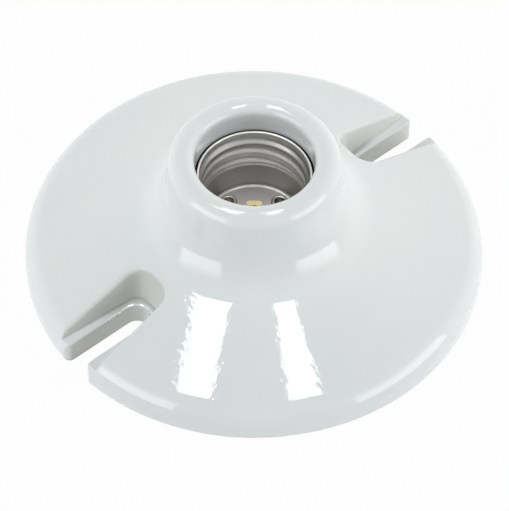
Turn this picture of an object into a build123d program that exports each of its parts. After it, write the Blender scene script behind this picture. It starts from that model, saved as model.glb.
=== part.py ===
"""Porcelain ceiling lamp holder: glazed body, rolled screw shell, centre contact, eyelets and terminals.

Millimetres, +Z out of the socket mouth, z = 0 on the face that lies against the outlet box,
the two mounting slots along X.
"""

from build123d import *

import os
from math import cos, pi, radians, sin, sqrt, tan

# Porcelain body
disc_diameter = 114.3
body_height = 37.9
rim_height = 7.3
flank_angle = 19.4
neck_diameter = 42.0
neck_draft = 3.5
rim_foot_radius = 0.8
rim_edge_radius = 2.2
neck_fillet_radius = 12.0
lip_outer_radius = 3.9
lip_inner_radius = 2.3
well_diameter = 29.4
well_shoulder_z = 21.0
lower_well_diameter = 28.6
well_floor_z = 11.5
well_corner_radius = 1.2

# Hollow back
rim_wall = 6.0
flank_wall = 6.0
hollow_draft = 4.0
boss_diameter = 41.0
boss_face_z = 4.8

# Mounting slots, open to the rim
slot_width = 6.6
slot_end_x = 37.9
slot_mouth_radius = 2.0
slot_flare = 0.3
recess_floor_z = 6.1
recess_end_x = 33.0
recess_inner_width = 9.3
recess_outer_width = 13.0
recess_draft = 9.0
recess_corner_radius = 3.1
recess_edge_radius = 0.9
ledge_edge_radius = 0.45
slot_pad_width = 20.0

# Screw shell for a medium Edison lamp cap, seven turns to the inch
sheet = 0.45
shell_top_z = 30.8
thread_pitch = 25.4 / 7
thread_major_diameter = 26.65
thread_minor_diameter = 25.2
thread_bottom_z = 19.0
thread_top_z = 29.0
thread_fade = 1.6
thread_start_angle = 125.0
sections_per_turn = 10
collar_diameter = 27.1
collar_depth = 2.2
collar_bead = 0.6
collar_edge_radius = 0.25
cup_top_diameter = 26.1
cup_floor_diameter = 25.2
cup_corner_radius = 0.9

# Contact, eyelets and terminals, laid out along one line through the axis
terminal_line_angle = 49.5
shell_eyelet_along = 6.75
shell_eyelet_across = 6.4
contact_eyelet_along = 6.5
eyelet_flange_diameter = 4.3
eyelet_barrel_diameter = 3.4
eyelet_bore = 2.4
eyelet_flange_thickness = 0.7
eyelet_roll_radius = 0.42
contact_pad_height = 1.2
contact_pad_diameter = 6.8
contact_window_diameter = 10.0
contact_thickness = 0.5
contact_width = 4.0
contact_foot_diameter = 6.0
contact_bend_along = 3.2
contact_crest_along = 0.6
contact_tip_along = 4.0
contact_crest_rise = 2.4
contact_tip_rise = 2.9
contact_bend_radius = 1.4
contact_corner_radius = 0.8
contact_hole_diameter = 1.9
contact_hole_along = 1.7
plate_thickness = 1.2
plate_eyelet_radius = 3.6
plate_screw_radius = 4.8
plate_clearance = 0.2
terminal_along = 19.5
terminal_lobe_radius = 6.8
screw_diameter = 4.1
screw_length = 5.4
screw_head_diameter = 7.6
screw_head_height = 2.1
screw_head_band = 1.15
screw_crown_diameter = 6.1
screw_crown_radius = 1.2
screw_tip_chamfer = 0.5
screw_tip_room = 0.8
screw_slot_width = 1.2
screw_slot_depth = 1.1
collar_wall = 0.95
collar_height = 1.6

# Running and fitting clearances, and how far cutters run past the rim
fit = 0.05
assembly_gap = 0.2
overrun = 6.0

# Derived levels
disc_radius = disc_diameter / 2
well_radius = well_diameter / 2
lower_well_radius = lower_well_diameter / 2
pad_top_z = well_floor_z + contact_pad_height
shell_floor_z = well_floor_z + sheet


def flank_z(radius):
    """Height of the straight flank line at a radius."""
    return rim_height + (disc_radius - radius) * tan(radians(flank_angle))


def round_corner(sketch, point, radius):
    """Round the corner of a sketch that lies nearest to a point."""
    corner = sketch.vertices().sort_by_distance((point[0], point[1], 0))[0]
    return fillet(corner, radius)


def turned(sketch):
    """Turn a profile drawn as radius and height about the Z axis."""
    return revolve(Plane.YZ * sketch, Axis.Z)


def disc(radius, z_low, z_high, along=0, across=0):
    """Plain cylinder standing between two heights."""
    return Pos(along, across, z_low) * extrude(Circle(radius), z_high - z_low)


def on_terminal_line(shape):
    """Turn a shape laid out along X onto the line of the terminals."""
    return Rot(0, 0, terminal_line_angle) * shape


def both_slots(shape):
    """A shape on the +X slot together with its twin on the -X slot."""
    return shape + Rot(0, 0, 180) * shape


def neck_root():
    """Point where the flank line and the drafted neck line meet."""
    neck_slope = tan(radians(neck_draft))
    flank_slope = tan(radians(flank_angle))
    rise = body_height - flank_z(0)
    radius = (neck_diameter / 2 + rise * neck_slope) / (1 - flank_slope * neck_slope)
    return radius, flank_z(radius)


def stock_profile(outer_radius):
    """Half section of a plain blank: flank, neck fillet and neck, with the flank run out to a radius."""
    outline = [
        (0, 0),
        (outer_radius, 0),
        (outer_radius, flank_z(outer_radius)),
        neck_root(),
        (neck_diameter / 2, body_height),
        (0, body_height),
    ]
    return round_corner(make_face(Polyline(*outline, close=True)), neck_root(), neck_fillet_radius)


def body_profile():
    """Half section of the porcelain with its rounded rim, its lip and its shouldered well."""
    well = [
        (well_radius, body_height),
        (well_radius, well_shoulder_z),
        (lower_well_radius, well_shoulder_z),
        (lower_well_radius, well_floor_z),
    ]
    profile = stock_profile(disc_radius)
    profile -= make_face(Polyline(*well, (0, well_floor_z), (0, body_height), close=True))
    profile = round_corner(profile, (disc_radius, 0), rim_foot_radius)
    profile = round_corner(profile, (disc_radius, rim_height), rim_edge_radius)
    profile = round_corner(profile, (neck_diameter / 2, body_height), lip_outer_radius)
    profile = round_corner(profile, well[0], lip_inner_radius)
    return round_corner(profile, well[-1], well_corner_radius)


def plate_outline(holes, spread=0.0):
    """Outline of a terminal plate round its eyelets and its screw."""
    circles = Pos(terminal_along, 0) * Circle(plate_screw_radius + spread)
    edges = circles.edges()
    for along, across in holes:
        edges += (Pos(along, across) * Circle(plate_eyelet_radius + spread)).edges()
    return make_hull(edges)


shell_eyelets = [
    (shell_eyelet_along, shell_eyelet_across),
    (shell_eyelet_along, -shell_eyelet_across),
]
contact_eyelets = [(contact_eyelet_along, 0)]


def pad_plan():
    """Plan of the pad round one slot along +X, with a round inner end."""
    length = disc_diameter - slot_end_x
    plan = Pos(slot_end_x + length / 2, 0) * Rectangle(length, slot_pad_width)
    return plan + Pos(slot_end_x, 0) * Circle(slot_pad_width / 2)


def hollow_back():
    """Space behind the flank, with the boss and the slot pads left standing."""
    wall_drop = flank_wall / cos(radians(flank_angle))
    rim_inner = disc_radius - rim_wall
    roof_z = flank_z(rim_inner) - wall_drop
    roof_radius = rim_inner - roof_z * tan(radians(hollow_draft))
    profile = make_face(
        Polyline(
            (0, -1),
            (rim_inner, -1),
            (rim_inner, 0),
            (roof_radius, flank_z(roof_radius) - wall_drop),
            (0, flank_z(0) - wall_drop),
            close=True,
        )
    )
    space = turned(profile)
    lobes = Circle(boss_diameter / 2).edges()
    lobes += (Pos(terminal_along, 0) * Circle(terminal_lobe_radius)).edges()
    lobes += (Pos(-terminal_along, 0) * Circle(terminal_lobe_radius)).edges()
    boss = Pos(0, 0, boss_face_z) * extrude(make_hull(lobes), body_height)
    pad = Pos(0, 0, -2) * extrude(pad_plan(), body_height)
    return space - on_terminal_line(boss) - both_slots(pad)


def through_slot_plan():
    """Plan of one slot along +X whose corners at the rim are rounded into the rim."""
    half = slot_width / 2
    corner_y = half + slot_mouth_radius
    reach = disc_radius - slot_mouth_radius
    corner_x = sqrt(reach**2 - corner_y**2)
    touch_x = corner_x * disc_radius / reach
    touch_y = corner_y * disc_radius / reach
    flare_x = touch_x - slot_flare * corner_y / reach
    flare_y = touch_y + slot_flare * corner_x / reach
    far_x = disc_radius + overrun
    upper_side = [
        (slot_end_x, half),
        (corner_x, half),
        (corner_x, touch_y),
        (touch_x, touch_y),
        (flare_x, flare_y),
        (far_x, flare_y),
    ]
    lower_side = [(x, -y) for x, y in reversed(upper_side)]
    plan = make_face(Polyline(*upper_side, *lower_side, close=True))
    plan += Pos(slot_end_x, 0) * Circle(half)
    for side in (1, -1):
        plan -= Pos(corner_x, side * corner_y) * Circle(slot_mouth_radius)
    return plan


def through_slot():
    """Cutter for one slot along +X, with the edge of its ledge rounded."""
    plan = through_slot_plan()
    narrow = Pos(0, 0, -1) * extrude(plan, recess_floor_z + 1)
    wide = Pos(0, 0, recess_floor_z) * extrude(offset(plan, ledge_edge_radius * 1.2), 1)
    cutter = narrow + wide
    ledge = cutter.faces().filter_by(Plane.XY).sort_by(Axis.Z)[1]
    edges = ledge.inner_wires()[0].edges()
    return fillet(edges.filter_by_position(Axis.X, 0, disc_radius + 1), ledge_edge_radius)


def slot_recess():
    """Cutter for one drafted recess along +X, its upper edge rounded into the flank."""
    far_x = disc_radius + 2 * overrun
    half_inner = recess_inner_width / 2
    half_outer = recess_outer_width / 2
    spread = (half_outer - half_inner) / (disc_radius - recess_end_x)
    half_far = half_inner + spread * (far_x - recess_end_x)
    sides = [
        (recess_end_x, half_inner),
        (far_x, half_far),
        (far_x, -half_far),
        (recess_end_x, -half_inner),
    ]
    plan = make_face(Polyline(*sides, close=True))
    plan = round_corner(plan, sides[0], recess_corner_radius)
    plan = round_corner(plan, sides[-1], recess_corner_radius)
    below = recess_floor_z + 1
    foot = offset(plan, -below * tan(radians(recess_draft)))
    channel = Pos(0, 0, recess_floor_z - below) * extrude(foot, body_height, taper=-recess_draft)
    stock = turned(stock_profile(disc_radius + overrun))
    cut = stock - channel
    upper = cut.edges().filter_by(lambda edge: beside_recess(edge.bounding_box()))
    removed = stock - fillet(upper, recess_edge_radius)
    above_ledge = disc(far_x, recess_floor_z, recess_floor_z + body_height)
    return removed & above_ledge


def beside_recess(box):
    """Whether an edge with this box runs along the recess on the flank, clear of the back face."""
    return box.min.X > slot_end_x / 2 and box.min.Z > rim_height / 2 - 1


def porcelain_body():
    """Glazed porcelain body with its slots, hollow back, terminal seats and eyelet holes."""
    body = turned(body_profile()) - hollow_back()
    body -= both_slots(slot_recess())
    body -= both_slots(through_slot())
    pad = disc(contact_pad_diameter / 2, well_floor_z - 1, pad_top_z, -contact_eyelet_along)
    body += on_terminal_line(pad)
    neutral_seat = extrude(plate_outline(shell_eyelets, plate_clearance), plate_thickness + 1)
    hot_seat = Rot(0, 0, 180) * extrude(plate_outline(contact_eyelets, plate_clearance), plate_thickness + 1)
    body -= on_terminal_line(Pos(0, 0, boss_face_z - 1) * (neutral_seat + hot_seat))
    hole_radius = eyelet_barrel_diameter / 2 + assembly_gap
    screw_well_radius = screw_diameter / 2 + collar_wall + assembly_gap
    screw_well_top = boss_face_z + screw_length + screw_tip_room
    for along, across in shell_eyelets + [(-contact_eyelet_along, 0)]:
        body -= on_terminal_line(disc(hole_radius, boss_face_z, pad_top_z + 1, along, across))
    for along in (terminal_along, -terminal_along):
        body -= on_terminal_line(disc(screw_well_radius, boss_face_z, screw_well_top, along))
    return body


def thread_core(growth):
    """Solid whose every level section is a circle set off the axis and carried round by the pitch.

    The fade at both ends brings the circle back onto the axis, and towards the collar it widens.
    """
    mean_radius = (thread_major_diameter + thread_minor_diameter) / 4
    depth = (thread_major_diameter - thread_minor_diameter) / 4
    flare = collar_diameter / 2 - mean_radius
    height = thread_top_z - thread_bottom_z
    count = round(height / thread_pitch * sections_per_turn)
    sections = []
    for step in range(count + 1):
        rise = height * step / count
        turn = radians(thread_start_angle) + 2 * pi * rise / thread_pitch
        strength = sin(min(1, rise / thread_fade, (height - rise) / thread_fade) * pi / 2) ** 2
        swing = depth * strength
        widening = flare * (1 - strength) if rise > height / 2 else 0
        centre = (swing * cos(turn), swing * sin(turn), thread_bottom_z + rise)
        sections.append(Pos(*centre) * Circle(mean_radius + widening + growth))
    return loft(sections)


def screw_shell():
    """Rolled screw shell: collar, thread, smooth cup and riveted floor, all in one sheet."""
    thread = thread_core(sheet) - thread_core(0)
    collar_low = shell_top_z - collar_depth
    collar_radius = collar_diameter / 2
    collar = disc(collar_radius + collar_bead, collar_low, shell_top_z)
    collar -= disc(collar_radius, collar_low, shell_top_z)
    collar = fillet(collar.edges().group_by(Axis.Z)[-1], collar_edge_radius)
    cup_top = thread_bottom_z + sheet
    top_radius = cup_top_diameter / 2
    floor_radius = cup_floor_diameter / 2
    outer_corner = (floor_radius + sheet, well_floor_z)
    inner_corner = (floor_radius, shell_floor_z)
    profile = make_face(
        Polyline(
            (0, well_floor_z),
            outer_corner,
            (top_radius + sheet, cup_top),
            (top_radius, cup_top),
            inner_corner,
            (0, shell_floor_z),
            close=True,
        )
    )
    profile = round_corner(profile, outer_corner, cup_corner_radius + sheet)
    profile = round_corner(profile, inner_corner, cup_corner_radius)
    shell = turned(profile) + thread + collar
    hole_radius = eyelet_barrel_diameter / 2 + fit
    window = disc(contact_window_diameter / 2, well_floor_z - 1, shell_floor_z + 1, -contact_eyelet_along)
    shell -= on_terminal_line(window)
    for along, across in shell_eyelets:
        hole = disc(hole_radius, well_floor_z - 1, shell_floor_z + 1, along, across)
        shell -= on_terminal_line(hole)
    return shell


def eyelet(seat_z, along, across):
    """Hollow eyelet clamping from a seat above the web to the terminal plate below it."""
    bore = eyelet_bore / 2
    barrel = eyelet_barrel_diameter / 2
    flange = eyelet_flange_diameter / 2
    top = seat_z + eyelet_flange_thickness
    bottom = boss_face_z - eyelet_flange_thickness
    top_corners = [(flange, top), (bore, top)]
    bottom_corners = [(bore, bottom), (flange, bottom)]
    profile = make_face(
        Polyline(
            *top_corners,
            *bottom_corners,
            (flange, boss_face_z),
            (barrel, boss_face_z),
            (barrel, seat_z),
            (flange, seat_z),
            close=True,
        )
    )
    for point in top_corners + bottom_corners:
        profile = round_corner(profile, point, eyelet_roll_radius)
    return on_terminal_line(Pos(along, across) * turned(profile))


def centre_contact():
    """Spring strip: riveted foot, rising leaf and level tip under the lamp's centre contact."""
    half = contact_thickness / 2
    foot_z = pad_top_z + half
    run = FilletPolyline(
        (-contact_eyelet_along, foot_z),
        (-contact_bend_along, foot_z),
        (contact_crest_along, foot_z + contact_crest_rise),
        (contact_tip_along, foot_z + contact_tip_rise),
        radius=contact_bend_radius,
    )
    side = trace(run, contact_thickness)
    strip = extrude(Plane.XZ * side, contact_width / 2, both=True)
    corners = strip.edges().filter_by(Axis.Z, tolerance=15).group_by(Axis.X)[-1]
    strip = fillet(corners, contact_corner_radius)
    strip -= disc(contact_hole_diameter / 2, pad_top_z, shell_top_z, contact_hole_along)
    strip += disc(contact_foot_diameter / 2, pad_top_z, pad_top_z + contact_thickness, -contact_eyelet_along)
    hole = eyelet_barrel_diameter / 2 + fit
    strip -= disc(hole, pad_top_z - 1, pad_top_z + contact_thickness + 1, -contact_eyelet_along)
    return on_terminal_line(strip)


def terminal_plate(holes):
    """Terminal plate with a drawn collar for its screw, laid out along +X."""
    plate = extrude(plate_outline(holes), plate_thickness)
    collar_radius = screw_diameter / 2 + collar_wall
    plate += disc(collar_radius, 0, plate_thickness + collar_height, terminal_along)
    plate -= disc(screw_diameter / 2 + fit, -1, plate_thickness + collar_height + 1, terminal_along)
    for along, across in holes:
        plate -= disc(eyelet_barrel_diameter / 2 + fit, -1, plate_thickness + 1, along, across)
    return Pos(0, 0, boss_face_z) * plate


def terminal_screw(along):
    """Slotted binding-head screw, its head below the terminal plate."""
    head_low = boss_face_z - screw_head_height
    tip = boss_face_z + screw_length
    radius = screw_diameter / 2
    head_radius = screw_head_diameter / 2
    crown = (screw_crown_diameter / 2, head_low)
    profile = make_face(
        Polyline(
            (0, head_low),
            crown,
            (head_radius, boss_face_z - screw_head_band),
            (head_radius, boss_face_z),
            (radius, boss_face_z),
            (radius, tip - screw_tip_chamfer),
            (radius - screw_tip_chamfer, tip),
            (0, tip),
            close=True,
        )
    )
    profile = round_corner(profile, crown, screw_crown_radius)
    slot = Box(screw_head_diameter * 2, screw_slot_width, screw_slot_depth * 2)
    screw = turned(profile) - Pos(0, 0, head_low) * slot
    return on_terminal_line(Pos(along, 0) * screw)


def neutral_terminal_plate():
    """Plate of the shell's side, under both shell eyelets."""
    return on_terminal_line(terminal_plate(shell_eyelets))


def hot_terminal_plate():
    """Plate of the centre contact's side."""
    return on_terminal_line(Rot(0, 0, 180) * terminal_plate(contact_eyelets))


pieces = {
    "porcelain_body": porcelain_body(),
    "screw_shell": screw_shell(),
    "centre_contact": centre_contact(),
    "shell_eyelet_a": eyelet(shell_floor_z, shell_eyelet_along, shell_eyelet_across),
    "shell_eyelet_b": eyelet(shell_floor_z, shell_eyelet_along, -shell_eyelet_across),
    "contact_eyelet": eyelet(pad_top_z + contact_thickness, -contact_eyelet_along, 0),
    "neutral_terminal_plate": neutral_terminal_plate(),
    "hot_terminal_plate": hot_terminal_plate(),
    "neutral_terminal_screw": terminal_screw(terminal_along),
    "hot_terminal_screw": terminal_screw(-terminal_along),
}

os.makedirs("parts", exist_ok=True)
for name, piece in pieces.items():
    export_step(piece, os.path.join("parts", name + ".step"))
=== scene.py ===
import math

import bmesh
import bpy
from mathutils import Matrix, Vector

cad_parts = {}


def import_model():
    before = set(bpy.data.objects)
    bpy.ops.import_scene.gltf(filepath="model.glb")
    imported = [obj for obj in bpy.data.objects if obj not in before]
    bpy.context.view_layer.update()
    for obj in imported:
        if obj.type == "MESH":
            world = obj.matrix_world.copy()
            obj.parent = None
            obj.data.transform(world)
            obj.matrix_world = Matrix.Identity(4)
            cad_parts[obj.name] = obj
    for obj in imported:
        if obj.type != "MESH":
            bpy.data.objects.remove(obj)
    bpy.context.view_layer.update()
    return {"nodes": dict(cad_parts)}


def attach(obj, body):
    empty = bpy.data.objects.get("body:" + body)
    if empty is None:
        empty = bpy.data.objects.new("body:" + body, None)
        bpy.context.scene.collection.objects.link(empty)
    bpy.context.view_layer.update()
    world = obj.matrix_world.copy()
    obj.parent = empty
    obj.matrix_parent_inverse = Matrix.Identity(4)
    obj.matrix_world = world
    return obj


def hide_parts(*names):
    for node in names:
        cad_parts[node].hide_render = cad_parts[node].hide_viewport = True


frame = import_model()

MM = 0.001


def mm(*values):
    """Lengths in metres, from millimetres."""
    return tuple(value * MM for value in values)


# Camera, from the photograph: 509 x 511 pixels, focal length in pixels
FRAME_LONG_SIDE = 511
FOCAL_PIXELS = 3184.06
SENSOR = 36.0
VIEW_AZIMUTH = math.radians(-41.1)
VIEW_ELEVATION = 0.8922
VIEW_ROLL = 0.0104
VIEW_DISTANCE = 0.7996
VIEW_TARGET = Vector((0.126, -0.110, -0.719)) * MM
LEVEL_RIGHT = Vector((math.cos(VIEW_AZIMUTH), math.sin(VIEW_AZIMUTH), 0))
LEVEL_DEEP = Vector((-math.sin(VIEW_AZIMUTH), math.cos(VIEW_AZIMUTH), 0))

# Rim of the porcelain, whose rounding is larger here than in the CAD
DISC_RADIUS = 57.15 * MM
RIM_HEIGHT = 7.3 * MM
FLANK_ANGLE = 19.4
RIM_ROUNDING = 6.5 * MM
RIM_SWEEP = math.radians(90 - FLANK_ANGLE)
ARC_RADIUS = DISC_RADIUS - RIM_ROUNDING
ARC_HEIGHT = RIM_HEIGHT - RIM_ROUNDING * math.tan(RIM_SWEEP / 2)
RIM_CUTS = 40
RIM_FACING = 0.7
WELD = 0.0001 * MM

# Colours and finish of the porcelain
GLAZE_COLOURS = ((0.772, 0.810, 0.810, 1), (0.806, 0.836, 0.830, 1))
BISCUIT_COLOURS = ((0.68, 0.655, 0.61, 1), (0.76, 0.74, 0.70, 1))
SPECK_COLOUR = (0.40, 0.36, 0.31, 1)
STEEP_WALL_SHADE_COLOUR = (0.705, 0.724, 0.700, 1)
INNER_LEDGE_SHADE_COLOUR = (0.60, 0.615, 0.59, 1)
JOINT_SHADE_COLOUR = (0.10, 0.095, 0.09, 1)
GLAZE_ROUGHNESS = (0.018, 0.034)
BISCUIT_ROUGHNESS = (0.62, 0.8)
NECK_DULLNESS = 0.05
BEAD_SHINE = 0.75
GLAZE_INDEX = 1.52
SPECK_STRENGTH = 0.12
GRAIN_DEPTH = 0.05 * MM
FOOT_WAVER = 0.7 * MM
EDGE_SOFTNESS = 0.45 * MM
LEDGE_FOOT_SOFTNESS = 1.5 * MM

# Noises of the porcelain: waves per metre, detail and roughness. Ripples have a depth as their third value.
CLOUDS = (22.0, 3.0, 0.55)
SPECK_SCALE = 190.0
GRAIN = (1500.0, 4.0, 0.65)
POLISH = (90.0, 3.0, 0.6)
BEADS = (1500.0, 0.0)
FOOT_EDGE_NOISE = (260.0, 2.0)
RIPPLES = ((48.0, 1.0, 0.06 * MM), (190.0, 2.0, 0.035 * MM), (900.0, 1.0, 0.013 * MM))

# Noise values between which a smooth step runs
CLOUD_STEP = (0.32, 0.68)
SPECK_SIZE_STEP = (0.055, 0.02)
SPECK_CHANCE_STEP = (0.955, 0.975)
BEAD_STEP = (0.5, 0.6)
FINISH_STEP = (0.3, 0.7)
METAL_TONE_STEP = (0.36, 0.64)

# The flank's line falls by its slope from its height on the axis
FLANK_SLOPE = 0.3522
FLANK_AXIS_HEIGHT = 27.42 * MM
SLOT_END = 37.9 * MM

# Edges of places on the porcelain: each pair runs from outside the place to inside it
HOLLOW_DEPTH_EDGE = mm(2.6, 3.4)
HOLLOW_RADIUS_EDGE = mm(52.0, 51.6)
HOLLOW_OFF_SLOT_EDGE = mm(8.3, 8.8)
FOOT_HEIGHT_EDGE = mm(0.85, 0.65)
RECESS_WIDTH_EDGE = mm(7.7, 7.2)
RECESS_END_EDGE = mm(30.0, 30.6)
RECESS_RADIUS_EDGE = mm(56.3, 55.3)
LEDGE_OFF_SLOT_EDGE = mm(3.9, 4.4)
STEEP_NORMAL_EDGE = (0.85, 0.25)
INNER_LEDGE_LENGTH_EDGE = mm(46.0, 39.0)
INNER_LEDGE_HEIGHT_EDGE = mm(6.9, 6.3)
JOINT_RADIUS_EDGE = mm(15.1, 14.8)
JOINT_LOW_EDGE = mm(10.0, 11.0)
JOINT_HIGH_EDGE = mm(30.6, 30.2)
NECK_INNER_EDGE = mm(17.8, 18.6)
NECK_OUTER_EDGE = mm(30.0, 28.5)
BEAD_INNER_EDGE = mm(3.25, 3.4)
BEAD_OUTER_EDGE = mm(4.0, 3.8)
BEAD_HEIGHT_EDGE = mm(5.5, 5.8)
BEAD_FAR_EDGE = mm(-47.0, -42.0)
BEAD_NEAR_EDGE = mm(1.0, -1.0)

# Metals: streaks along the rolled shell and along the strips, in waves per metre
ROLLED = (30, 30, 2600)
ALONG_STRIP = (1800, 1800, 300)
STREAKS = (1.0, 3.0, 0.6)
PATCHES = (170.0, 4.0, 0.6)
DENTS = (420.0, 2.0)
METAL_EDGE = 0.06 * MM
STREAK_DEPTH = 0.006 * MM
DENT_DEPTH = 0.01 * MM
PATCH_SHARE = 0.65
STREAK_SHARE = 0.35

# Painted shade on the shell, by height
SHELL_SHADE_COLOUR = (0.36, 0.35, 0.335, 1)
SHADE_NOISE = (120.0, 2.0)
SHADE_WAVER = 0.8 * MM
CUP_SHADE = 0.66
CUP_TOP_EDGE = mm(20.2, 19.0)
THREAD_SHADE = 0.85
THREAD_LOW_EDGE = mm(25.8, 26.8)
THREAD_HIGH_EDGE = mm(29.4, 28.8)

# Studio light: overhead, round the horizon to the front and back, and added to the sides
SOFTBOX_LEVEL = 8.0
SOFTBOX_HEIGHT = 0.70
PANEL_LEVEL = 3.0
PANEL_FADE = (1.0, 0.75, 0.5, 0.25)
PANEL_DISTANCE = 1.6
TOP_LIGHT = 0.12
FRONT_LIGHT = 1.04
SIDE_LIGHT = 0.5
RIGHT_LIGHT = 0.37
BACK_LIGHT = 1.34
TOP_COLOUR = (0.985, 1.0, 1.01, 1)
LOW_COLOUR = (1.0, 0.995, 0.98, 1)
FLOOR_HALF_SIDE = 4.0
FLOOR_COLOUR = (0.9, 0.9, 0.9, 1)
FLOOR_WHITE_SHARE = 0.95


def new_tree(name):
    """Material and its node tree, emptied."""
    material = bpy.data.materials.new(name)
    material.use_nodes = True
    tree = material.node_tree
    tree.nodes.clear()
    return material, tree


def add(tree, kind, settings=None, **inputs):
    """Node of a kind, with its properties set and its inputs set or linked."""
    node = tree.nodes.new(kind)
    for key, value in (settings or {}).items():
        setattr(node, key, value)
    for key, value in inputs.items():
        plug(tree, node, key.replace("_", " "), value)
    return node


def plug(tree, node, socket, value):
    """Link a socket or set it to a value. A socket is named or numbered."""
    target = node.inputs[socket]
    if isinstance(value, bpy.types.NodeSocket):
        tree.links.new(value, target)
    else:
        target.default_value = value


def math_node(tree, operation, *values, clamp=False):
    """Result of a Math node on numbers or sockets."""
    node = add(tree, "ShaderNodeMath", {"operation": operation, "use_clamp": clamp})
    for index, value in enumerate(values):
        plug(tree, node, index, value)
    return node.outputs[0]


def product(tree, first, *others):
    """Product of sockets and numbers."""
    result = first
    for other in others:
        result = math_node(tree, "MULTIPLY", result, other)
    return result


def size_of(tree, value):
    """Value of a socket without its sign."""
    return math_node(tree, "ABSOLUTE", value)


def hypotenuse(tree, first, second):
    """Distance made up of two sides at a right angle."""
    squares = [math_node(tree, "POWER", side, 2.0) for side in (first, second)]
    return math_node(tree, "SQRT", math_node(tree, "ADD", *squares))


def smooth(tree, value, low, high, to_low=0.0, to_high=1.0):
    """Smooth step of a socket from one range to another."""
    node = add(tree, "ShaderNodeMapRange", {"interpolation_type": "SMOOTHSTEP"})
    for index, part in enumerate((value, low, high, to_low, to_high)):
        plug(tree, node, index, part)
    return node.outputs[0]


def band(tree, value, rise, fall):
    """1 where a socket lies between two edges, each a pair of values from outside to inside."""
    return product(tree, smooth(tree, value, *rise), smooth(tree, value, *fall))


def mix_colour(tree, factor, first, second):
    """Mix of two colours by a socket."""
    node = add(tree, "ShaderNodeMix", {"data_type": "RGBA"})
    plug(tree, node, 0, factor)
    plug(tree, node, 6, first)
    plug(tree, node, 7, second)
    return node.outputs[2]


def mix_value(tree, factor, first, second):
    """Mix of two numbers by a socket."""
    node = add(tree, "ShaderNodeMix", {"data_type": "FLOAT"})
    plug(tree, node, 0, factor)
    plug(tree, node, 2, first)
    plug(tree, node, 3, second)
    return node.outputs[0]


def mix_vector(tree, factor, first, second):
    """Mix of two directions by a socket."""
    node = add(tree, "ShaderNodeMix", {"data_type": "VECTOR"})
    plug(tree, node, 0, factor)
    plug(tree, node, 4, first)
    plug(tree, node, 5, second)
    return node.outputs[1]


def object_point(tree, scale=(1, 1, 1)):
    """Point in the part's own frame, in metres, stretched by a scale."""
    coordinates = add(tree, "ShaderNodeTexCoord").outputs["Object"]
    if tuple(scale) == (1, 1, 1):
        return coordinates
    mapping = add(tree, "ShaderNodeMapping", Vector=coordinates)
    mapping.inputs["Scale"].default_value = scale
    return mapping.outputs[0]


def parts_of(tree, vector):
    """X, Y and Z of a vector."""
    return add(tree, "ShaderNodeSeparateXYZ", Vector=vector).outputs


def noise(tree, scale, detail=2.0, roughness=0.5, stretch=(1, 1, 1)):
    """Noise between 0 and 1, scale in waves per metre."""
    node = add(tree, "ShaderNodeTexNoise", Vector=object_point(tree, stretch))
    plug(tree, node, "Scale", scale)
    plug(tree, node, "Detail", detail)
    plug(tree, node, "Roughness", roughness)
    return node.outputs[0]


def bump(tree, height, depth, normal):
    """Normal with a bump of a height between 0 and 1, its depth in metres."""
    return add(tree, "ShaderNodeBump", Height=height, Distance=depth, Strength=1.0, Normal=normal).outputs[0]


def soft_edges(tree, radius):
    """Normal that runs softly over edges."""
    return add(tree, "ShaderNodeBevel", {"samples": 6}, Radius=radius).outputs[0]


def finish_tree(tree, shader):
    """Join a shader to the material's output."""
    output = add(tree, "ShaderNodeOutputMaterial")
    tree.links.new(shader.outputs[0], output.inputs["Surface"])


def slot_distance(tree, x, y):
    """Distance from the middle line of the nearer slot, which ends in a half circle."""
    past_end = math_node(tree, "MAXIMUM", math_node(tree, "SUBTRACT", SLOT_END, size_of(tree, x)), 0.0)
    return hypotenuse(tree, past_end, y)


def bare_places(tree, radius, z, off_slot):
    """1 on the foot and well under the flank, away from the rim and the slots."""
    depth = math_node(tree, "SUBTRACT", FLANK_AXIS_HEIGHT,
                      math_node(tree, "MULTIPLY_ADD", radius, FLANK_SLOPE, z))
    under = smooth(tree, depth, *HOLLOW_DEPTH_EDGE)
    inside = smooth(tree, radius, *HOLLOW_RADIUS_EDGE)
    beside_slot = smooth(tree, off_slot, *HOLLOW_OFF_SLOT_EDGE)
    foot_line = math_node(tree, "MULTIPLY_ADD", noise(tree, *FOOT_EDGE_NOISE), FOOT_WAVER, z)
    foot = smooth(tree, foot_line, *FOOT_HEIGHT_EDGE)
    return math_node(tree, "MAXIMUM", product(tree, under, inside, beside_slot), foot, clamp=True)


def glaze_colour(tree):
    """Cloudy white with a few fine specks."""
    cloud = smooth(tree, noise(tree, *CLOUDS), *CLOUD_STEP)
    glaze = mix_colour(tree, cloud, *GLAZE_COLOURS)
    speck = add(tree, "ShaderNodeTexVoronoi", Vector=object_point(tree), Scale=SPECK_SCALE).outputs
    chance = add(tree, "ShaderNodeSeparateColor", Color=speck["Color"]).outputs[0]
    dot = product(tree, smooth(tree, speck["Distance"], *SPECK_SIZE_STEP),
                  smooth(tree, chance, *SPECK_CHANCE_STEP))
    return mix_colour(tree, product(tree, dot, SPECK_STRENGTH), glaze, SPECK_COLOUR)


def bead_glints(tree, x, z, off_slot, in_slot):
    """1 on the beads of glaze along the ledge's edge at the slot on the -X side."""
    along_edge = band(tree, off_slot, BEAD_INNER_EDGE, BEAD_OUTER_EDGE)
    on_side = band(tree, x, BEAD_FAR_EDGE, BEAD_NEAR_EDGE)
    beads = smooth(tree, noise(tree, *BEADS), *BEAD_STEP)
    return product(tree, along_edge, in_slot, smooth(tree, z, *BEAD_HEIGHT_EDGE), on_side, beads)


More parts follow.
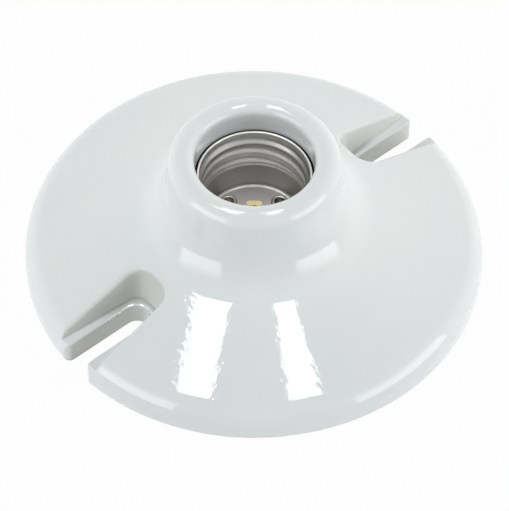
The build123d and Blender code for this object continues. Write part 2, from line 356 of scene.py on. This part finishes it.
def porcelain():
    """Glazed white porcelain, bare and matt on its foot and in its hollow back."""
    material, tree = new_tree("glazed_porcelain")
    x, y, z = parts_of(tree, object_point(tree))
    radius = hypotenuse(tree, x, y)
    off_slot = slot_distance(tree, x, y)
    bare = bare_places(tree, radius, z, off_slot)
    grain = noise(tree, *GRAIN)
    biscuit = mix_colour(tree, grain, *BISCUIT_COLOURS)
    colour = mix_colour(tree, bare, glaze_colour(tree), biscuit)

    # The foot of the recess walls is soft, and the steep recess walls are painted greyer as painted shade
    in_slot = product(tree, smooth(tree, size_of(tree, y), *RECESS_WIDTH_EDGE),
                      smooth(tree, size_of(tree, x), *RECESS_END_EDGE),
                      smooth(tree, radius, *RECESS_RADIUS_EDGE), math_node(tree, "SUBTRACT", 1.0, bare))
    beside_ledge = product(tree, in_slot, smooth(tree, off_slot, *LEDGE_OFF_SLOT_EDGE))
    soft = soft_edges(tree, mix_value(tree, beside_ledge, EDGE_SOFTNESS, LEDGE_FOOT_SOFTNESS))
    steep = smooth(tree, parts_of(tree, soft)[2], *STEEP_NORMAL_EDGE)
    # Painted shade: steep walls in the slot recesses are painted greyer
    colour = mix_colour(tree, product(tree, in_slot, steep), colour, STEEP_WALL_SHADE_COLOUR)
    # Painted shade: the inner part of the ledge, low in the recess, is painted darker
    inner_ledge = product(tree, smooth(tree, size_of(tree, x), *INNER_LEDGE_LENGTH_EDGE), beside_ledge,
                          smooth(tree, z, *INNER_LEDGE_HEIGHT_EDGE))
    colour = mix_colour(tree, inner_ledge, colour, INNER_LEDGE_SHADE_COLOUR)

    # Painted shade: the joint round the shell is painted near-black
    joint = product(tree, smooth(tree, radius, *JOINT_RADIUS_EDGE),
                    band(tree, z, JOINT_LOW_EDGE, JOINT_HIGH_EDGE))
    colour = mix_colour(tree, joint, colour, JOINT_SHADE_COLOUR)

    # The neck shines a little less than the flank
    gloss = smooth(tree, noise(tree, *POLISH), *FINISH_STEP, *GLAZE_ROUGHNESS)
    neck = band(tree, radius, NECK_INNER_EDGE, NECK_OUTER_EDGE)
    gloss = math_node(tree, "MULTIPLY_ADD", neck, NECK_DULLNESS, gloss)
    dull = smooth(tree, grain, *FINISH_STEP, *BISCUIT_ROUGHNESS)
    roughness = mix_value(tree, bare, gloss, dull)

    normal = soft
    for scale, detail, depth in RIPPLES:
        normal = bump(tree, noise(tree, scale, detail), depth, normal)
    normal = mix_vector(tree, bare, normal, bump(tree, grain, GRAIN_DEPTH, normal))
    shine = product(tree, bead_glints(tree, x, z, off_slot, in_slot), BEAD_SHINE)
    shader = add(tree, "ShaderNodeBsdfPrincipled", Base_Color=colour, Roughness=roughness, IOR=GLAZE_INDEX,
                 Metallic=shine, Normal=normal)
    finish_tree(tree, shader)
    return material


def shell_tone(tree, colour):
    """Colour of the shell, painted darker as painted shade in its cup and along the top of its thread."""
    z = parts_of(tree, object_point(tree))[2]
    waver = math_node(tree, "MULTIPLY_ADD", noise(tree, *SHADE_NOISE), SHADE_WAVER, z)
    cup = product(tree, smooth(tree, waver, *CUP_TOP_EDGE), CUP_SHADE)
    thread_top = product(tree, band(tree, waver, THREAD_LOW_EDGE, THREAD_HIGH_EDGE), THREAD_SHADE)
    # Painted shade: the cup and the top of the thread are painted darker
    return mix_colour(tree, math_node(tree, "MAXIMUM", cup, thread_top), colour, SHELL_SHADE_COLOUR)


def metal(name, light, dark, roughness_range, streak, tone_by=None):
    """Worked sheet or turned metal with fine streaks, dull patches and soft edges."""
    material, tree = new_tree(name)
    patch = noise(tree, *PATCHES)
    lines = noise(tree, *STREAKS, stretch=streak)
    tone = math_node(tree, "ADD", product(tree, patch, PATCH_SHARE), product(tree, lines, STREAK_SHARE))
    colour = mix_colour(tree, smooth(tree, tone, *METAL_TONE_STEP), dark, light)
    if tone_by:
        colour = tone_by(tree, colour)
    finest, roughest = roughness_range
    roughness = smooth(tree, tone, *FINISH_STEP, roughest, finest)
    normal = bump(tree, lines, STREAK_DEPTH, soft_edges(tree, METAL_EDGE))
    normal = bump(tree, noise(tree, *DENTS), DENT_DEPTH, normal)
    shader = add(tree, "ShaderNodeBsdfPrincipled", Base_Color=colour, Roughness=roughness, Metallic=1.0,
                 Normal=normal)
    finish_tree(tree, shader)
    return material


def dress(node, material):
    """Give a CAD node its material."""
    slots = frame["nodes"][node].data.materials
    slots.clear()
    slots.append(material)


def rim_arc(point):
    """Direction from the centre of the rim's rounding to a point outside it, and how far outside it lies.

    There is no direction where the point lies within the rounding or beyond its ends.
    """
    centre = Vector((point.x, point.y, 0)).normalized() * ARC_RADIUS
    centre.z = ARC_HEIGHT
    reach = point - centre
    angle = math.atan2(reach.z, point.xy.length - ARC_RADIUS)
    if angle < 0 or angle > RIM_SWEEP or reach.length <= RIM_ROUNDING:
        return None, 0.0
    return reach.normalized(), reach.length - RIM_ROUNDING


def cut_rim(form):
    """Cut the outer faces at many heights, so that they can bend."""
    for step in range(RIM_CUTS + 1):
        level = ARC_HEIGHT + RIM_ROUNDING * math.sin(RIM_SWEEP) * step / RIM_CUTS
        outer = [face for face in form.faces if max(vert.co.xy.length for vert in face.verts) > ARC_RADIUS]
        pieces = set(outer)
        for face in outer:
            pieces.update(face.edges)
            pieces.update(face.verts)
        bmesh.ops.bisect_plane(form, geom=list(pieces), dist=WELD, plane_co=(0, 0, level), plane_no=(0, 0, 1))


def pull_rim(form):
    """Pull what lies outside the rim's rounding onto it, and turn the normals there."""
    turned = {}
    for vert in form.verts:
        direction, outside = rim_arc(vert.co)
        if direction:
            turned[vert] = direction
            vert.co -= outside * direction
    bmesh.ops.dissolve_degenerate(form, edges=form.edges, dist=WELD)
    form.normal_update()
    layer = form.loops.layers.float_vector["facing"]
    for vert, direction in turned.items():
        if not vert.is_valid:
            continue
        for corner in vert.link_loops:
            if corner.face.normal.dot(direction) > RIM_FACING:
                corner[layer] = direction


def rounded_porcelain():
    """Porcelain whose flank rolls off into the rim in one large rounding, from the CAD node's mesh."""
    source = frame["nodes"]["porcelain_body"].data
    mesh = source.copy()
    mesh.name = "porcelain"
    facing = mesh.attributes.new("facing", "FLOAT_VECTOR", "CORNER")
    facing.data.foreach_set("vector", [part for normal in source.corner_normals for part in normal.vector])
    form = bmesh.new()
    form.from_mesh(mesh)
    bmesh.ops.remove_doubles(form, verts=form.verts, dist=WELD)
    cut_rim(form)
    pull_rim(form)
    bmesh.ops.triangulate(form, faces=form.faces)
    form.to_mesh(mesh)
    form.free()
    normals = [Vector(corner.vector).normalized() for corner in mesh.attributes["facing"].data]
    mesh.attributes.remove(mesh.attributes["facing"])
    mesh.polygons.foreach_set("use_smooth", [True] * len(mesh.polygons))
    mesh.normals_split_custom_set(normals)
    body = bpy.data.objects.new("porcelain", mesh)
    bpy.context.scene.collection.objects.link(body)
    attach(body, "holder")
    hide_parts("porcelain_body")


def camera():
    """Camera at the photograph's viewing angle."""
    back = math.sin(VIEW_ELEVATION) * Vector((0, 0, 1)) - math.cos(VIEW_ELEVATION) * LEVEL_DEEP
    rise = back.cross(LEVEL_RIGHT)
    c, s = math.cos(VIEW_ROLL), math.sin(VIEW_ROLL)
    right = c * LEVEL_RIGHT + s * rise
    up = c * rise - s * LEVEL_RIGHT
    data = bpy.data.cameras.new("camera")
    data.sensor_width = SENSOR
    data.lens = FOCAL_PIXELS / FRAME_LONG_SIDE * SENSOR
    data.clip_start = 0.01
    data.clip_end = 50.0
    body = bpy.data.objects.new("camera", data)
    turn = Matrix((right, up, back)).transposed().to_4x4()
    body.matrix_world = Matrix.Translation(VIEW_TARGET + VIEW_DISTANCE * back) @ turn
    bpy.context.scene.collection.objects.link(body)
    bpy.context.scene.camera = body


def area_lamp(name, at, axes, size, level):
    """Rectangular lamp of an even level, facing away from its third axis and unseen by the camera."""
    data = bpy.data.lights.new(name, "AREA")
    data.shape = "RECTANGLE"
    data.size, data.size_y = size
    data.energy = level * math.pi * size[0] * size[1]
    lamp = bpy.data.objects.new(name, data)
    lamp.matrix_world = Matrix.Translation(at) @ Matrix(axes).transposed().to_4x4()
    lamp.visible_camera = False
    bpy.context.scene.collection.objects.link(lamp)


def softbox(name, near_end, size, degrees):
    """Strip lamp above the part, facing down and running back from its near end, turned to the right.

    The near end is given along the camera's right and its level depth.
    """
    turn = math.radians(degrees)
    along = math.sin(turn) * LEVEL_RIGHT + math.cos(turn) * LEVEL_DEEP
    across = math.cos(turn) * LEVEL_RIGHT - math.sin(turn) * LEVEL_DEEP
    up = Vector((0, 0, 1))
    at = near_end[0] * LEVEL_RIGHT + near_end[1] * LEVEL_DEEP + size[1] / 2 * along + SOFTBOX_HEIGHT * up
    area_lamp(name, at, (across, along, up), size, SOFTBOX_LEVEL)


def panel(name, degrees, width, edges):
    """Upright soft panel that faces the part and fades towards its top.

    Its bearing is turned to the right from straight behind the part. The edges are the heights of its strips.
    """
    bearing = VIEW_AZIMUTH - math.radians(degrees)
    out = Vector((-math.sin(bearing), math.cos(bearing), 0))
    aside = Vector((-out.y, out.x, 0))
    up = Vector((0, 0, 1))
    for foot, top, share in zip(edges, edges[1:], PANEL_FADE):
        at = PANEL_DISTANCE * out + (foot + top) / 2 * up
        area_lamp(name, at, (aside, up, out), (width, top - foot), PANEL_LEVEL * share)


def seen(tree):
    """1 where a ray comes from the camera, a mirror or a clear body, otherwise 0."""
    path = add(tree, "ShaderNodeLightPath").outputs
    mirrored = math_node(tree, "MAXIMUM", path["Is Glossy Ray"], path["Is Transmission Ray"])
    return math_node(tree, "MAXIMUM", path["Is Camera Ray"], mirrored)


def floor():
    """Plain white floor that keeps the part's shadow."""
    half = FLOOR_HALF_SIDE
    mesh = bpy.data.meshes.new("floor")
    corners = [(-half, -half, 0), (half, -half, 0), (half, half, 0), (-half, half, 0)]
    mesh.from_pydata(corners, [], [(0, 1, 2, 3)])
    plane = bpy.data.objects.new("floor", mesh)
    bpy.context.scene.collection.objects.link(plane)
    material, tree = new_tree("floor_white")
    paint = add(tree, "ShaderNodeBsdfDiffuse", Color=FLOOR_COLOUR)
    glow = add(tree, "ShaderNodeEmission", Color=(1, 1, 1, 1), Strength=1.0)
    blend = add(tree, "ShaderNodeMixShader")
    plug(tree, blend, 0, product(tree, seen(tree), FLOOR_WHITE_SHARE))
    plug(tree, blend, 1, paint.outputs[0])
    plug(tree, blend, 2, glow.outputs[0])
    finish_tree(tree, blend)
    mesh.materials.append(material)


def part_along(tree, direction, axis):
    """Part of a direction that lies along an axis."""
    node = add(tree, "ShaderNodeVectorMath", {"operation": "DOT_PRODUCT"})
    plug(tree, node, 0, direction)
    plug(tree, node, 1, axis)
    return node.outputs["Value"]


def world():
    """Even studio light, brighter round the horizon than overhead, and white where it is seen."""
    sky = bpy.data.worlds.new("studio")
    sky.use_nodes = True
    tree = sky.node_tree
    tree.nodes.clear()
    direction = add(tree, "ShaderNodeTexCoord").outputs["Generated"]
    height = parts_of(tree, direction)[2]
    low = math_node(tree, "POWER", math_node(tree, "SUBTRACT", 1.0, height, clamp=True), 2.0)
    aside = part_along(tree, direction, LEVEL_RIGHT)
    deep = part_along(tree, direction, LEVEL_DEEP)
    to_sides = math_node(tree, "POWER", aside, 2.0)
    round_about = math_node(tree, "MULTIPLY_ADD", to_sides, SIDE_LIGHT, FRONT_LIGHT)
    round_about = math_node(tree, "MULTIPLY_ADD", aside, RIGHT_LIGHT, round_about)
    round_about = math_node(tree, "MULTIPLY_ADD", deep, BACK_LIGHT, round_about)
    level = math_node(tree, "MULTIPLY_ADD", low, round_about, TOP_LIGHT)
    strength = mix_value(tree, seen(tree), level, 1.0)
    colour = mix_colour(tree, low, TOP_COLOUR, LOW_COLOUR)
    light = add(tree, "ShaderNodeBackground", Color=colour, Strength=strength)
    output = add(tree, "ShaderNodeOutputWorld")
    tree.links.new(light.outputs[0], output.inputs["Surface"])
    bpy.context.scene.world = sky


white = porcelain()
sheet = metal("shell_sheet", light=(0.84, 0.83, 0.82, 1), dark=(0.76, 0.75, 0.74, 1),
              roughness_range=(0.34, 0.44), streak=ROLLED, tone_by=shell_tone)
brass = metal("brass", light=(0.40, 0.345, 0.19, 1), dark=(0.29, 0.24, 0.12, 1),
              roughness_range=(0.20, 0.32), streak=ALONG_STRIP)
tinned = metal("eyelet_metal", light=(0.62, 0.60, 0.56, 1), dark=(0.42, 0.39, 0.35, 1),
               roughness_range=(0.22, 0.40), streak=ALONG_STRIP)
nickel = metal("nickel_plated", light=(0.68, 0.66, 0.62, 1), dark=(0.54, 0.52, 0.48, 1),
               roughness_range=(0.20, 0.36), streak=ALONG_STRIP)

dress("porcelain_body", white)
dress("screw_shell", sheet)
dress("centre_contact", brass)
dress("shell_eyelet_a", tinned)
dress("shell_eyelet_b", tinned)
dress("contact_eyelet", tinned)
dress("neutral_terminal_plate", nickel)
dress("hot_terminal_plate", brass)
dress("neutral_terminal_screw", nickel)
dress("hot_terminal_screw", brass)
rounded_porcelain()

camera()
floor()
world()
softbox("left_softbox", near_end=(-0.1512, -0.0758), size=(0.096, 0.32), degrees=15)
softbox("left_softbox_outer", near_end=(-0.151, -0.0234), size=(0.080, 0.145), degrees=-34.4)
softbox("right_softbox", near_end=(0.1383, -0.0788), size=(0.087, 0.318), degrees=-15.3)
panel("left_panel", degrees=-126, width=1.3, edges=(0.015, 0.78, 0.93, 1.09, 1.28))
panel("right_panel", degrees=114, width=1.35, edges=(0.01, 0.66, 0.80, 0.95, 1.13))

scene = bpy.context.scene
scene.view_settings.view_transform = "Standard"
